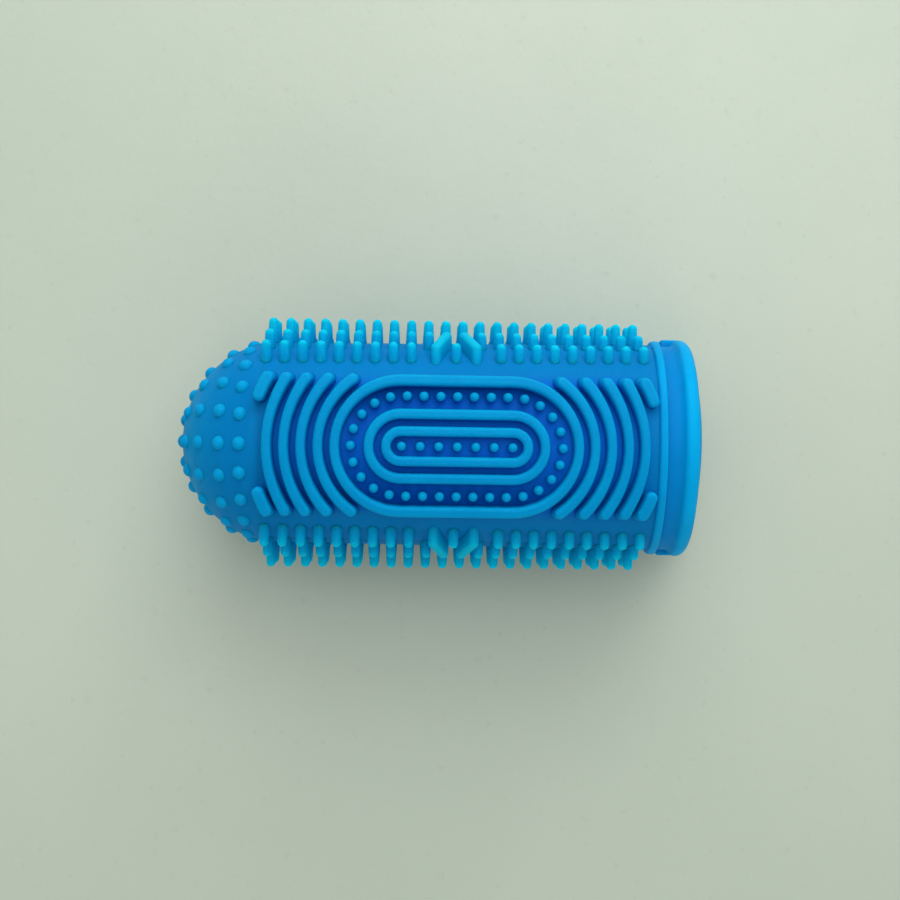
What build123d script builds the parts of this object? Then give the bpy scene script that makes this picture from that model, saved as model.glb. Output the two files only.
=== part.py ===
from build123d import *
import os
from math import asin, atan2, cos, degrees, pi, radians, sin, sqrt, tan

# Finger sleeve toothbrush for pets, moulded in one piece of soft silicone.
# Millimetres. +X points out of the mouth, +Z towards the upper scrubbing panel, +Y to the left.
# The origin is the centre of the finger bore in the plane where the sleeve meets the cuff.

# ---- sleeve ----
BORE_R = 9.8
SLEEVE_L = 44.3
SLEEVE_R_TIP = 11.4
SLEEVE_R_MOUTH = 11.92
DOME_L = 9.9
DOME_WALL = 1.8
DOME_SHOULDER_R = 3.8

# ---- collar at the mouth: a ring ridge, a groove and a flared cuff, all leaning back ----
COLLAR_LEAN = 7.0
RIDGE_RISE_S = -1.3
RIDGE_CREST_S = -0.5
RIDGE_R = 12.38
GROOVE_R = 11.8
GROOVE_L = 1.2
CUFF_R = 12.5
CUFF_CREST_S = 2.4
CUFF_L = 3.4
FLARE_START_S = 1.6
FLARE_R = 10.9
LIP_HALF_W = 12.65
LIP_DEPTH = 12.9
LIP_WALL = 1.3
LIP_BACK_X = 0.8
LIP_TOP_X = 2.7
LIP_TOP_Z = -0.5
LIP_END_X = 9.6

# ---- scrubbing panel ----
PANEL_X = -23.6
CROWN_TOP = 13.0
CROWN_R = 24.0
RIB_W = 0.95
RIB_DRAFT = 4.0
RIB_ROUND = 0.36
TRACK_HALF = 5.81
TRACK_RADII = {"outer_ring": 6.84, "middle_ring": 3.34, "inner_ring": 1.55}
DOT_TRACK_R = 5.19
DOT_COUNT = 32
DOT_R = 0.52
CENTRE_DOTS = 7
CENTRE_PITCH = 1.918
ARC_R1 = 8.55
ARC_STEP = 1.75
ARC_COUNT = 4
ARC_HALF_Y = 6.85
CORNER_R = 15.5
CORNER_Y_IN = 5.05
CORNER_Y_OUT = 6.85
CORNER_W = 1.1

# ---- side bristles ----
SLOTS = 22
PITCH = 1.95
ROW_TIP_Y = [11.15, 12.6, 14.15]
ROW_TIP_Z = [7.2, 4.45, 1.5]
ROW_TILT = [8.0, 5.0, 2.0]
BRISTLE_R_ROOT = 0.78
BRISTLE_R_TIP = 0.52
FIN_X_OUT = 2.2
FIN_X_IN = 0.975
FIN_W = 1.15

# ---- nubs on the dome ----
NUB_R = 0.80
NUB_SINK = 0.26
NUB_RINGS = [(11.0, 22), (9.95, 18), (7.95, 14), (5.4, 10), (2.75, 6)]

COLLAR = Location((0, 0, 0), (0, -COLLAR_LEAN, 0))


def revolve_x(outline):
    """Solid of revolution about X from an outline in the (x, radius) half plane."""
    return revolve(make_face(outline), Axis.X, 360)


def sleeve_radius(x):
    return SLEEVE_R_MOUTH + (SLEEVE_R_MOUTH - SLEEVE_R_TIP) * x / SLEEVE_L


def dome_pole_radius(length, radius, shoulder):
    """Radius of the arc across the dome's end that runs smoothly into the shoulder arc."""
    return (length ** 2 + (radius - shoulder) ** 2 - shoulder ** 2) / (2 * (length - shoulder))


def half_dome(length, radius, shoulder):
    """Filled dome: a shoulder arc tangent to the sleeve, then a flatter arc across the end."""
    pole = dome_pole_radius(length, radius, shoulder)
    split = degrees(atan2(radius - shoulder, pole - length))
    shoulder_arc = CenterArc((-SLEEVE_L, radius - shoulder), shoulder, 90, 90 - split)
    pole_arc = CenterArc((-SLEEVE_L - length + pole, 0), pole, 180 - split, split)
    base = Polyline((-SLEEVE_L - length, 0), (-SLEEVE_L, 0), (-SLEEVE_L, radius))
    return revolve_x(shoulder_arc + pole_arc + base)


def dome_point(r):
    """Point on the dome at radius r, as (x, r), and its outward normal."""
    pole = dome_pole_radius(DOME_L, SLEEVE_R_TIP, DOME_SHOULDER_R)
    shoulder_centre = Vector(-SLEEVE_L, SLEEVE_R_TIP - DOME_SHOULDER_R)
    pole_centre = Vector(-SLEEVE_L - DOME_L + pole, 0)
    split_r = pole * sin(atan2(SLEEVE_R_TIP - DOME_SHOULDER_R, pole - DOME_L))
    centre, radius = (shoulder_centre, DOME_SHOULDER_R) if r > split_r else (pole_centre, pole)
    normal = Vector(-sqrt(radius ** 2 - (r - centre.Y) ** 2), r - centre.Y) / radius
    return centre + normal * radius, normal


def sleeve_core():
    """The sleeve's outside, filled solid, up to the leaning plane where the cuff begins."""
    x0 = -SLEEVE_L
    x1 = 3.0
    outline = Polyline((x0, 0), (x1, 0), (x1, sleeve_radius(x1)), (x0, SLEEVE_R_TIP), close=True)
    keep = COLLAR * Box(80, 40, 40, align=(Align.MAX, Align.CENTER, Align.CENTER))
    return revolve_x(outline) & keep


def bore(x0, x1):
    return Plane.YZ.offset(x0) * Cylinder(BORE_R, x1 - x0, align=(Align.CENTER, Align.CENTER, Align.MIN))


def tip_dome():
    outside = half_dome(DOME_L, SLEEVE_R_TIP, DOME_SHOULDER_R)
    inside = half_dome(DOME_L - DOME_WALL, BORE_R, DOME_SHOULDER_R - DOME_WALL)
    return outside - inside


def rise(s0, r0, s1, r1):
    """Smooth S-shaped step in a collar outline, from one level to a higher one."""
    half_run = (s1 - s0) / 2
    half_lift = (r1 - r0) / 2
    bend = (half_run ** 2 + half_lift ** 2) / (2 * half_lift)
    sweep = 2 * degrees(atan2(half_lift, half_run))
    hollow = CenterArc((s0, r0 + bend), bend, -90, sweep)
    round_over = CenterArc((s1, r1 - bend), bend, 90, sweep)
    return hollow + round_over


def collar_ridge(core):
    edge_r = 0.12
    step = rise(RIDGE_RISE_S, GROOVE_R, RIDGE_CREST_S, RIDGE_R)
    top = Line((RIDGE_CREST_S, RIDGE_R), (-edge_r, RIDGE_R))
    edge = CenterArc((-edge_r, RIDGE_R - edge_r), edge_r, 0, 90)
    wall = Polyline((0, RIDGE_R - edge_r), (0, BORE_R + 1), (RIDGE_RISE_S, BORE_R + 1), (RIDGE_RISE_S, GROOVE_R))
    return COLLAR * revolve_x(step + top + edge + wall) - core


def cuff_outside():
    """The cuff filled solid: groove floor, flare, rounded rim."""
    rim_r = CUFF_L - CUFF_CREST_S
    floor = Polyline((CUFF_L, CUFF_R - rim_r), (CUFF_L, 0), (0, 0), (0, GROOVE_R), (GROOVE_L, GROOVE_R))
    flare = rise(GROOVE_L, GROOVE_R, CUFF_CREST_S, CUFF_R)
    rim = CenterArc((CUFF_CREST_S, CUFF_R - rim_r), rim_r, 0, 90)
    return COLLAR * revolve_x(floor + flare + rim)


def mouth_cuff(outside):
    flare = Polyline((FLARE_START_S, 0), (FLARE_START_S, BORE_R), (CUFF_L + 0.1, FLARE_R),
                     (CUFF_L + 0.1, 0), close=True)
    return outside - bore(-5, 12) - COLLAR * revolve_x(flare)


def lower_lip(core, outside, ridge):
    """Broad thin lip that wraps the lower half of the cuff and reaches out beyond it."""
    length = LIP_END_X - LIP_BACK_X
    start = Plane.YZ.offset(LIP_BACK_X)
    band = extrude(start * Ellipse(LIP_HALF_W, LIP_DEPTH), length)
    hole = extrude(start * Ellipse(LIP_HALF_W - LIP_WALL, LIP_DEPTH - LIP_WALL), length)
    low = -LIP_DEPTH - 1
    slope = (LIP_END_X - LIP_TOP_X) / (LIP_DEPTH + LIP_TOP_Z)
    side = Polyline((LIP_BACK_X, LIP_TOP_Z), (LIP_TOP_X, LIP_TOP_Z),
                    (LIP_TOP_X + slope * (LIP_TOP_Z - low), low), (LIP_BACK_X, low), close=True)
    wedge = extrude(Plane.XZ * make_face(side), 20, both=True)
    return (band & wedge) - hole - core - outside - ridge


def crown_z(y):
    return CROWN_TOP - CROWN_R + sqrt(CROWN_R ** 2 - y ** 2)


def crowned(rib, body):
    """Trim a rib to the panel's crown, round its top edges and seat it on the sleeve."""
    crown = Location((PANEL_X, 0, CROWN_TOP - CROWN_R), (0, 90, 0)) * Cylinder(CROWN_R, 60)
    rib = rib & crown
    top_edges = rib.edges().filter_by(lambda e: e.bounding_box().size.Z < 3 and e.center().Z > 9)
    return fillet(top_edges, RIB_ROUND) - body


def track_ridge(radius, body):
    level = Plane((PANEL_X, 0, CROWN_TOP + 0.5))
    grow = RIB_W / 2 - 0.5 * tan(radians(RIB_DRAFT))
    outer = extrude(level * SlotCenterToCenter(2 * TRACK_HALF, 2 * (radius + grow)), -7, taper=-RIB_DRAFT)
    inner = extrude(level * SlotCenterToCenter(2 * TRACK_HALF, 2 * (radius - grow)), -7, taper=RIB_DRAFT)
    return crowned(outer - inner, body)


def arc_rib(end, radius, angle_a, angle_b, width, body):
    """Rib along an arc about one end of the track. end is -1 at the dome side, +1 at the mouth side."""
    level = Plane((PANEL_X, 0, CROWN_TOP + 0.5))
    first = angle_a if end > 0 else 180 - angle_b
    path = CenterArc((end * TRACK_HALF, 0), radius, first, angle_b - angle_a)
    outline = SlotArc(path, width - tan(radians(RIB_DRAFT)))
    return crowned(extrude(level * outline, -7, taper=-RIB_DRAFT), body)


def arc_ridge(end, index, body):
    radius = ARC_R1 + index * ARC_STEP
    half = degrees(asin(ARC_HALF_Y / radius))
    return arc_rib(end, radius, -half, half, RIB_W, body)


def corner_ribs(end, body):
    a = degrees(asin(CORNER_Y_IN / CORNER_R))
    b = degrees(asin(CORNER_Y_OUT / CORNER_R))
    left = arc_rib(end, CORNER_R, a, b, CORNER_W, body)
    right = arc_rib(end, CORNER_R, -b, -a, CORNER_W, body)
    return Compound(children=[left.solid(), right.solid()])


def bristle(tip, direction, length, body, r_root=BRISTLE_R_ROOT, r_tip=BRISTLE_R_TIP):
    """Tapered round bristle with a domed end, from inside the sleeve's wall out to its tip."""
    side = Polyline((0, length), (0, 0), (r_root, 0), (r_tip, length - r_tip))
    dome = CenterArc((0, length - r_tip), r_tip, 0, 90)
    stem = revolve(Plane.XZ * make_face(side + dome), Axis.Z, 360)
    unit = Vector(*direction).normalized()
    root = Vector(*tip) - unit * length
    return (Plane(origin=root, z_dir=unit) * stem - body).solid()


def track_point(s):
    """Point at distance s around the dot track, from its dome-side end."""
    quarter = pi * DOT_TRACK_R / 2
    straight = 2 * TRACK_HALF
    side = 1
    half_turn = 2 * quarter + straight
    if s >= half_turn:
        s = s - half_turn
        side = -1
    if s < quarter:
        a = s / DOT_TRACK_R
        x, y = -TRACK_HALF - DOT_TRACK_R * cos(a), DOT_TRACK_R * sin(a)
    elif s < quarter + straight:
        x, y = s - quarter - TRACK_HALF, DOT_TRACK_R
    else:
        a = (s - quarter - straight) / DOT_TRACK_R
        x, y = TRACK_HALF + DOT_TRACK_R * sin(a), DOT_TRACK_R * cos(a)
    return side * x, side * y


def panel_dots(points, body):
    dots = []
    for x, y in points:
        tip = (PANEL_X + x, y, crown_z(y))
        dots.append(bristle(tip, (0, 0, 1), 5.0, body, DOT_R + 0.14, DOT_R - 0.04))
    return Compound(children=dots)


def panel(body):
    """Every node of the upper scrubbing panel."""
    nodes = {}
    for name, radius in TRACK_RADII.items():
        nodes[name] = track_ridge(radius, body)
    around = 4 * TRACK_HALF + 2 * pi * DOT_TRACK_R
    nodes["ring_bristles"] = panel_dots([track_point(k * around / DOT_COUNT) for k in range(DOT_COUNT)], body)
    first = -(CENTRE_DOTS - 1) / 2
    nodes["centre_bristles"] = panel_dots([((first + k) * CENTRE_PITCH, 0) for k in range(CENTRE_DOTS)], body)
    for end, word in ((-1, "front"), (1, "rear")):
        for index in range(ARC_COUNT):
            nodes[f"{word}_arc_{index + 1}"] = arc_ridge(end, index, body)
        nodes[f"{word}_corner_ribs"] = corner_ribs(end, body)
    return nodes


def row_slots(row):
    """x positions along one row, measured from the panel's centre."""
    xs = [(k - (SLOTS - 1) / 2) * PITCH for k in range(SLOTS)]
    if row == 0:
        return [x for x in xs if abs(x) > 3] + [0.0]
    if row == 1:
        return [x for x in xs if abs(x) > 1]
    return xs


def bristle_row(row, body):
    """One row on the left side, above the parting plane. Row 0 is the highest."""
    lean = radians(ROW_TILT[row])
    stems = []
    for x in row_slots(row):
        tip = (PANEL_X + x, ROW_TIP_Y[row], ROW_TIP_Z[row])
        stems.append(bristle(tip, (0, cos(lean), sin(lean)), 5.0, body))
    return Compound(children=stems)


def star_fin(end, body):
    """Blade that joins the highest row to the second row, leaning towards the middle."""
    z_out, z_in = ROW_TIP_Z[0] - 0.1, ROW_TIP_Z[1] - 0.1
    y_out, y_in = ROW_TIP_Y[0] + 0.1, ROW_TIP_Y[1]
    middle = (PANEL_X + end * (FIN_X_OUT + FIN_X_IN) / 2, (z_out + z_in) / 2)
    run = end * (FIN_X_OUT - FIN_X_IN)
    drop = z_out - z_in
    slot = SlotCenterToCenter(sqrt(run ** 2 + drop ** 2), FIN_W, rotation=degrees(atan2(drop, run)))
    blade = extrude(Plane.XZ * Pos(*middle) * slot, -20)
    slope = degrees(asin((y_in - y_out) / drop))
    cap = Location((0, (y_out + y_in) / 2, middle[1]), (slope, 0, 0)) * Box(
        200, 20, 40, align=(Align.CENTER, Align.MAX, Align.CENTER))
    blade = blade & cap
    outer_edges = blade.edges().filter_by(lambda e: e.center().Y > 9)
    return (fillet(outer_edges, 0.5) - body).solid()


def star_fins(body):
    upper = Compound(children=[star_fin(-1, body), star_fin(1, body)])
    lower = mirror(upper, Plane.XY)
    return Compound(children=upper.solids() + lower.solids())


def nub(r, angle, dome):
    surface, normal = dome_point(r)
    centre = surface - normal * NUB_SINK
    ball = Pos(centre.X, centre.Y, 0) * Sphere(NUB_R)
    return (Rot(angle, 0, 0) * ball - dome).solid()


def nub_ring(r, count, dome):
    return Compound(children=[nub(r, 90 + k * 360 / count, dome) for k in range(count)])


def tip_nub(dome):
    return Pos(-SLEEVE_L - DOME_L + NUB_SINK, 0, 0) * Sphere(NUB_R) - dome


def build():
    core = sleeve_core()
    dome = half_dome(DOME_L, SLEEVE_R_TIP, DOME_SHOULDER_R)
    body = core + dome
    outside = cuff_outside()
    nodes = {
        "sleeve_wall": core - bore(-SLEEVE_L, 5),
        "tip_dome": tip_dome(),
        "collar_ridge": collar_ridge(core),
        "mouth_cuff": mouth_cuff(outside),
        "lower_lip": lower_lip(core, outside, collar_ridge(core)),
    }
    for name, shape in panel(body).items():
        nodes["upper_" + name] = shape
        nodes["lower_" + name] = mirror(shape, Plane.XY)
    for row in range(3):
        upper = bristle_row(row, body)
        lower = mirror(upper, Plane.XY)
        nodes[f"left_bristle_row_{row + 1}"] = upper
        nodes[f"left_bristle_row_{6 - row}"] = lower
        nodes[f"right_bristle_row_{row + 1}"] = mirror(upper, Plane.XZ)
        nodes[f"right_bristle_row_{6 - row}"] = mirror(lower, Plane.XZ)
    fins = star_fins(body)
    nodes["left_star_fins"] = fins
    nodes["right_star_fins"] = mirror(fins, Plane.XZ)
    for index, (r, count) in enumerate(NUB_RINGS):
        nodes[f"nub_ring_{index + 1}"] = nub_ring(r, count, dome)
    nodes["tip_nub"] = tip_nub(dome)
    return nodes


os.makedirs("parts", exist_ok=True)
for node_name, node_shape in build().items():
    export_step(node_shape, f"parts/{node_name}.step")
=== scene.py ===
import math

import bpy
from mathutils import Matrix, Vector


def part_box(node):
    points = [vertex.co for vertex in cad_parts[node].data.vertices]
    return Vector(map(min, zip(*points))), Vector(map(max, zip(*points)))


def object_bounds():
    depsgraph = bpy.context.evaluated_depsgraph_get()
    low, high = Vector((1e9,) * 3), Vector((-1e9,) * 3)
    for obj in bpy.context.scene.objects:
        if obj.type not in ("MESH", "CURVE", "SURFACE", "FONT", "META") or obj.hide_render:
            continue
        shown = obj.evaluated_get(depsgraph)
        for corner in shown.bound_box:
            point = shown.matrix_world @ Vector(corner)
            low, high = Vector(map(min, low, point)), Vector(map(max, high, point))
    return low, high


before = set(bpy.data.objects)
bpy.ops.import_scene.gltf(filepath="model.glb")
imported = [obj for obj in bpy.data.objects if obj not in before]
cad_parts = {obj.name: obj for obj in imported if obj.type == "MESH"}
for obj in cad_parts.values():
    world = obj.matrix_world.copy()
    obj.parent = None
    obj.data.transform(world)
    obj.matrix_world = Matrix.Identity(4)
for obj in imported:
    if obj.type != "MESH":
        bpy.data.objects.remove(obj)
cad_low, cad_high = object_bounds()

ring_low, ring_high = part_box("upper_outer_ring")
PANEL_MIDDLE = (ring_low.x + ring_high.x) / 2

# ---- colours, as sRGB bytes ----
# painted shade: the sleeve's deeper blue inside the ribbed panels, where shade falls between the ribs
BODY_PAINTED_SHADE = (0, 100, 208)
BODY_LIT = (0, 120, 190)
# ridges and panel dots: painted shade at the roots, painted light on the tops, fading by distance from the
# axis
RIDGE_ROOT_PAINTED_SHADE = (0, 110, 198)
RIDGE_TOP_PAINTED_LIGHT = (0, 146, 204)
# bristles and fins: painted shade at the roots, painted light glowing at the tips
BRISTLE_ROOT_PAINTED_SHADE = (0, 150, 208)
BRISTLE_TIP_PAINTED_LIGHT = (0, 180, 220)
# cuff, collar ridge and lip: painted shade in the groove, painted highlight on the rim
CUFF_PAINTED_SHADE = (0, 96, 186)
CUFF_RIM_PAINTED_LIGHT = (0, 164, 228)
DOME_TOP = (0, 143, 212)
NUB_TOP = (0, 148, 214)
DUST = (4, 160, 216)
PAPER = (196, 203, 192)
PAPER_SHADE = (188, 196, 184)
PAPER_FLECK = (170, 176, 164)

# ---- where a silicone's first colour ends and its second is full: metres from the bore's axis ----
DOME_FADE = (0.0060, 0.0114)
# ridge and dot fades: painted shade at the roots to painted light on the tops
RIDGE_FADE = (0.0120, 0.0130)
DOT_FADE = (0.0119, 0.0129)
# bristle and fin fades: painted shade at the roots to painted light at the tips
BRISTLE_FADE = (0.0116, 0.0138)
FIN_FADE = (0.0116, 0.0133)
NUB_FADE = (0.0, 0.0118)
# cuff and lip fades: painted shade nearer the axis to a painted highlight at the rim
CUFF_FADE = (0.0111, 0.0127)
LIP_FADE = (0.0110, 0.0129)

# ---- where the sleeve is painted a deeper blue as shade inside the ribbed panels: metres above or below the axis, and metres from the panel's middle ----
PANEL_SHADE_RISE = (0.0086, 0.0100)
PANEL_SHADE_REACH = (0.0172, 0.0212)

# ---- the silicone's skin: grain is in noise cells per metre, depth is in metres ----
SATIN_GRAIN = 420.0
SATIN_ROUGHNESS = (0.44, 0.58)
SPECULAR = 0.05
SILICONE_IOR = 1.41
GLOW = 0.35
RIDGE_GLOW = 0.6
BRISTLE_GLOW = 0.8
GLOW_RADIUS = (0.10, 0.7, 1.0)
GLOW_SCALE = 0.0020
CLOUD_GRAIN = 140.0
CLOUD_BAND = (0.35, 0.65)
CLOUD_SHARE = (0.0, 0.14)
CLOUD_DARKER = 0.86
DUST_GRAIN = 2600.0
DUST_BAND = (0.60, 0.78)
DUST_SHARE = (0.0, 0.10)
SKIN_GRAIN = 5200.0
SKIN_DEPTH = 0.00002
SKIN_STRENGTH = 0.30
WAVE_GRAIN = 260.0
WAVE_DEPTH = 0.00010
WAVE_STRENGTH = 0.20

# ---- the paper, in the same units ----
PAPER_CLOUD_GRAIN = 9.0
FLECK_GRAIN = 700.0
FLECK_BAND = (0.62, 0.75)
FLECK_SHARE = (0.0, 0.25)
PAPER_GRAIN = 300.0
PAPER_ROUGHNESS = (0.75, 0.9)
TOOTH_GRAIN = 900.0
TOOTH_DEPTH = 0.00012
TOOTH_STRENGTH = 0.35

# ---- the middle of a noise's range, and what a value is spread to ----
MIDDLE_BAND = (0.3, 0.7)
RISING = (0.0, 1.0)
FALLING = (1.0, 0.0)

# ---- a Mix node's colour sockets, which can't be told apart by name ----
MIX_COLOURS = (6, 7)
MIX_RESULT = 2


def linear(rgb):
    """Linear colour with alpha from sRGB bytes."""
    out = []
    for v in rgb:
        c = v / 255
        out.append(c / 12.92 if c <= 0.04045 else ((c + 0.055) / 1.055) ** 2.4)
    return (*out, 1.0)


class Graph:
    """Short helpers for building one material's node tree."""

    def __init__(self, name):
        self.material = bpy.data.materials.new(name)
        self.material.use_nodes = True
        self.tree = self.material.node_tree
        self.shader = self.tree.nodes["Principled BSDF"]
        self.place = self.add("ShaderNodeTexCoord").outputs["Object"]

    def add(self, kind, **values):
        node = self.tree.nodes.new(kind)
        for key, value in values.items():
            setattr(node, key, value)
        return node

    def link(self, source, target):
        self.tree.links.new(source, target)

    def noise(self, scale, detail=3.0, rough=0.55):
        node = self.add("ShaderNodeTexNoise")
        node.inputs["Scale"].default_value = scale
        node.inputs["Detail"].default_value = detail
        node.inputs["Roughness"].default_value = rough
        self.link(self.place, node.inputs["Vector"])
        return node.outputs["Fac"]

    def spread(self, value, span, result):
        """Value remapped from one pair of numbers to another, smoothly and clamped."""
        node = self.add("ShaderNodeMapRange", interpolation_type="SMOOTHSTEP")
        for key, number in zip(("From Min", "From Max", "To Min", "To Max"), (*span, *result)):
            node.inputs[key].default_value = number
        self.link(value, node.inputs["Value"])
        return node.outputs["Result"]

    def math(self, operation, first, second=0.0):
        node = self.add("ShaderNodeMath", operation=operation)
        for socket, value in zip(node.inputs, (first, second)):
            if isinstance(value, (int, float)):
                socket.default_value = value
            else:
                self.link(value, socket)
        return node.outputs["Value"]

    def mix(self, factor, first, second):
        """Blend of two colours. Each is a fixed colour or another node's output."""
        node = self.add("ShaderNodeMix", data_type="RGBA")
        self.link(factor, node.inputs["Factor"])
        for index, value in zip(MIX_COLOURS, (first, second)):
            if isinstance(value, tuple):
                node.inputs[index].default_value = value
            else:
                self.link(value, node.inputs[index])
        return node.outputs[MIX_RESULT]

    def bump(self, height, distance, strength, before=None):
        node = self.add("ShaderNodeBump")
        node.inputs["Distance"].default_value = distance
        node.inputs["Strength"].default_value = strength
        self.link(height, node.inputs["Height"])
        if before is not None:
            self.link(before, node.inputs["Normal"])
        return node.outputs["Normal"]

    def axes(self):
        parts = self.add("ShaderNodeSeparateXYZ")
        self.link(self.place, parts.inputs["Vector"])
        return parts.outputs["X"], parts.outputs["Y"], parts.outputs["Z"]

    def from_axis(self):
        """Distance from the bore's axis, in metres."""
        _, y, z = self.axes()
        total = self.math("ADD", self.math("MULTIPLY", y, y), self.math("MULTIPLY", z, z))
        return self.math("SQRT", total)

    def painted_panel_shade(self):
        """Share of painted shade: 1 on the sleeve inside either scrubbing panel, where shade falls between
        the ribs, falling to 0 past its edges and its ends.
        """
        x, _, z = self.axes()
        height = self.math("ABSOLUTE", z)
        along = self.math("ABSOLUTE", self.math("SUBTRACT", x, PANEL_MIDDLE))
        inside = self.spread(height, PANEL_SHADE_RISE, RISING)
        return self.math("MULTIPLY", inside, self.spread(along, PANEL_SHADE_REACH, FALLING))


def silicone(name, first, second, fade=None, glow=GLOW):
    """Satin silicone that runs from one colour to another by distance from the bore's axis over fade, or,
    without one, into painted shade over the panels.
    """
    g = Graph(name)
    share = g.spread(g.from_axis(), fade, RISING) if fade else g.painted_panel_shade()
    colour = g.mix(share, linear(first), linear(second))
    cloud = g.spread(g.noise(CLOUD_GRAIN), CLOUD_BAND, CLOUD_SHARE)
    colour = g.mix(cloud, colour, linear(tuple(int(v * CLOUD_DARKER) for v in first)))
    dust = g.spread(g.noise(DUST_GRAIN, detail=2.0), DUST_BAND, DUST_SHARE)
    colour = g.mix(dust, colour, linear(DUST))
    g.link(colour, g.shader.inputs["Base Color"])
    satin = g.spread(g.noise(SATIN_GRAIN, detail=4.0), MIDDLE_BAND, SATIN_ROUGHNESS)
    g.link(satin, g.shader.inputs["Roughness"])
    skin = g.bump(g.noise(SKIN_GRAIN, detail=2.0), SKIN_DEPTH, SKIN_STRENGTH)
    wave = g.bump(g.noise(WAVE_GRAIN, detail=2.0), WAVE_DEPTH, WAVE_STRENGTH, before=skin)
    g.link(wave, g.shader.inputs["Normal"])
    sockets = g.shader.inputs
    sockets["Specular IOR Level"].default_value = SPECULAR
    sockets["IOR"].default_value = SILICONE_IOR
    sockets["Subsurface Weight"].default_value = glow
    sockets["Subsurface Radius"].default_value = GLOW_RADIUS
    sockets["Subsurface Scale"].default_value = GLOW_SCALE
    return g.material


def paper(name):
    """Matt pale paper with faint clouds, flecks and tooth."""
    g = Graph(name)
    cloud = g.spread(g.noise(PAPER_CLOUD_GRAIN, detail=4.0), MIDDLE_BAND, RISING)
    colour = g.mix(cloud, linear(PAPER), linear(PAPER_SHADE))
    fleck = g.spread(g.noise(FLECK_GRAIN), FLECK_BAND, FLECK_SHARE)
    colour = g.mix(fleck, colour, linear(PAPER_FLECK))
    g.link(colour, g.shader.inputs["Base Color"])
    matt = g.spread(g.noise(PAPER_GRAIN), MIDDLE_BAND, PAPER_ROUGHNESS)
    g.link(matt, g.shader.inputs["Roughness"])
    tooth = g.bump(g.noise(TOOTH_GRAIN, detail=5.0), TOOTH_DEPTH, TOOTH_STRENGTH)
    g.link(tooth, g.shader.inputs["Normal"])
    return g.material


# the sleeve darkens into painted shade inside the scrubbing panels
sleeve = silicone("silicone_sleeve", BODY_LIT, BODY_PAINTED_SHADE)
dome = silicone("silicone_dome", DOME_TOP, BODY_LIT, DOME_FADE)
# ridges and panel dots get painted light on their tops and painted shade at their roots
ridge = silicone("silicone_ridge", RIDGE_ROOT_PAINTED_SHADE, RIDGE_TOP_PAINTED_LIGHT, RIDGE_FADE, glow=RIDGE_GLOW)
dot = silicone("silicone_dot", RIDGE_ROOT_PAINTED_SHADE, RIDGE_TOP_PAINTED_LIGHT, DOT_FADE)
# bristles and fins get painted light at their tips and painted shade at their roots
stem = silicone("silicone_bristle", BRISTLE_ROOT_PAINTED_SHADE, BRISTLE_TIP_PAINTED_LIGHT, BRISTLE_FADE, glow=BRISTLE_GLOW)
fin = silicone("silicone_fin", BRISTLE_ROOT_PAINTED_SHADE, BRISTLE_TIP_PAINTED_LIGHT, FIN_FADE)
nub = silicone("silicone_nub", DOME_TOP, NUB_TOP, NUB_FADE)
# cuff, collar ridge and lip get painted shade in the groove and a painted highlight at the rim
cuff = silicone("silicone_cuff", CUFF_PAINTED_SHADE, CUFF_RIM_PAINTED_LIGHT, CUFF_FADE)
lip = silicone("silicone_lip", CUFF_PAINTED_SHADE, CUFF_RIM_PAINTED_LIGHT, LIP_FADE)


def material_for(node):
    if node == "sleeve_wall":
        return sleeve
    if node == "tip_dome":
        return dome
    if node == "lower_lip":
        return lip
    if node in ("mouth_cuff", "collar_ridge"):
        return cuff
    if "nub" in node:
        return nub
    if "star_fins" in node:
        return fin
    if "bristle_row" in node:
        return stem
    if "bristles" in node:
        return dot
    return ridge


for name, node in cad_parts.items():
    node.data.materials.clear()
    node.data.materials.append(material_for(name))

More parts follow.
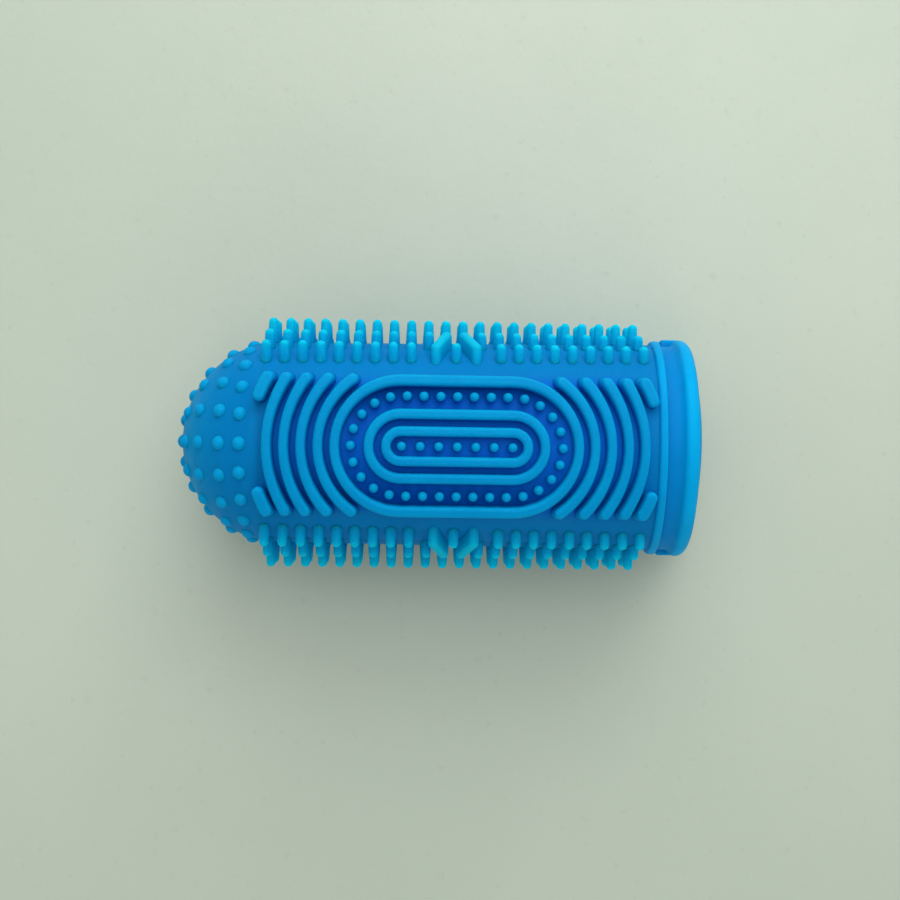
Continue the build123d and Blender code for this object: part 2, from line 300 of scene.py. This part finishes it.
# ---- floor ----
FLOOR_HALF = 8.0
FLOOR_SIGNS = ((-1, -1), (1, -1), (1, 1), (-1, 1))
floor_mesh = bpy.data.meshes.new("floor")
corners = [(FLOOR_HALF * x, FLOOR_HALF * y, cad_low[2]) for x, y in FLOOR_SIGNS]
floor_mesh.from_pydata(corners, [], [(0, 1, 2, 3)])
floor_mesh.materials.append(paper("pale_paper"))
floor = bpy.data.objects.new("floor", floor_mesh)
bpy.context.scene.collection.objects.link(floor)

# ---- light ----
SKY_COLOUR = (0.94, 1.0, 0.91, 1.0)
SKY_STRENGTH = 0.48
world = bpy.data.worlds.new("studio")
world.use_nodes = True
sky = world.node_tree.nodes["Background"]
sky.inputs["Color"].default_value = SKY_COLOUR
sky.inputs["Strength"].default_value = SKY_STRENGTH
bpy.context.scene.world = world
middle = Vector((PANEL_MIDDLE, 0.0, 0.0))


def softbox(name, place, size, power, colour):
    """Square light that faces the middle of the object."""
    data = bpy.data.lights.new(name, "AREA")
    data.shape = "SQUARE"
    data.size = size
    data.energy = power
    data.color = colour
    obj = bpy.data.objects.new(name, data)
    obj.location = place
    obj.rotation_euler = (middle - Vector(place)).to_track_quat("-Z", "Y").to_euler()
    bpy.context.scene.collection.objects.link(obj)


softbox("ceiling", place=(0.0, 0.13, 0.26), size=0.32, power=0.50, colour=(0.98, 1.0, 0.96))
softbox("window", place=(0.02, 0.26, 0.14), size=0.24, power=0.42, colour=(0.97, 1.0, 0.99))
softbox("bounce", place=(0.02, -0.45, 0.17), size=0.26, power=0.30, colour=(0.86, 0.98, 1.0))

bpy.context.scene.view_settings.view_transform = "Standard"

# ---- camera ----
CAMERA_AT = (-0.02848257, 0.00200663, 0.11288028)
CAMERA_TURN = (-1.36114, -2.33911, 0.91725)
LENS_MM = 38.99
SENSOR_MM = 36.0
CLIP_NEAR = 0.005
CLIP_FAR = 20.0
camera_data = bpy.data.cameras.new("camera")
camera_data.sensor_width = SENSOR_MM
camera_data.lens = LENS_MM
camera_data.clip_start = CLIP_NEAR
camera_data.clip_end = CLIP_FAR
camera = bpy.data.objects.new("camera", camera_data)
camera.location = CAMERA_AT
camera.rotation_euler = [math.radians(a) for a in CAMERA_TURN]
bpy.context.scene.collection.objects.link(camera)
bpy.context.scene.camera = camera
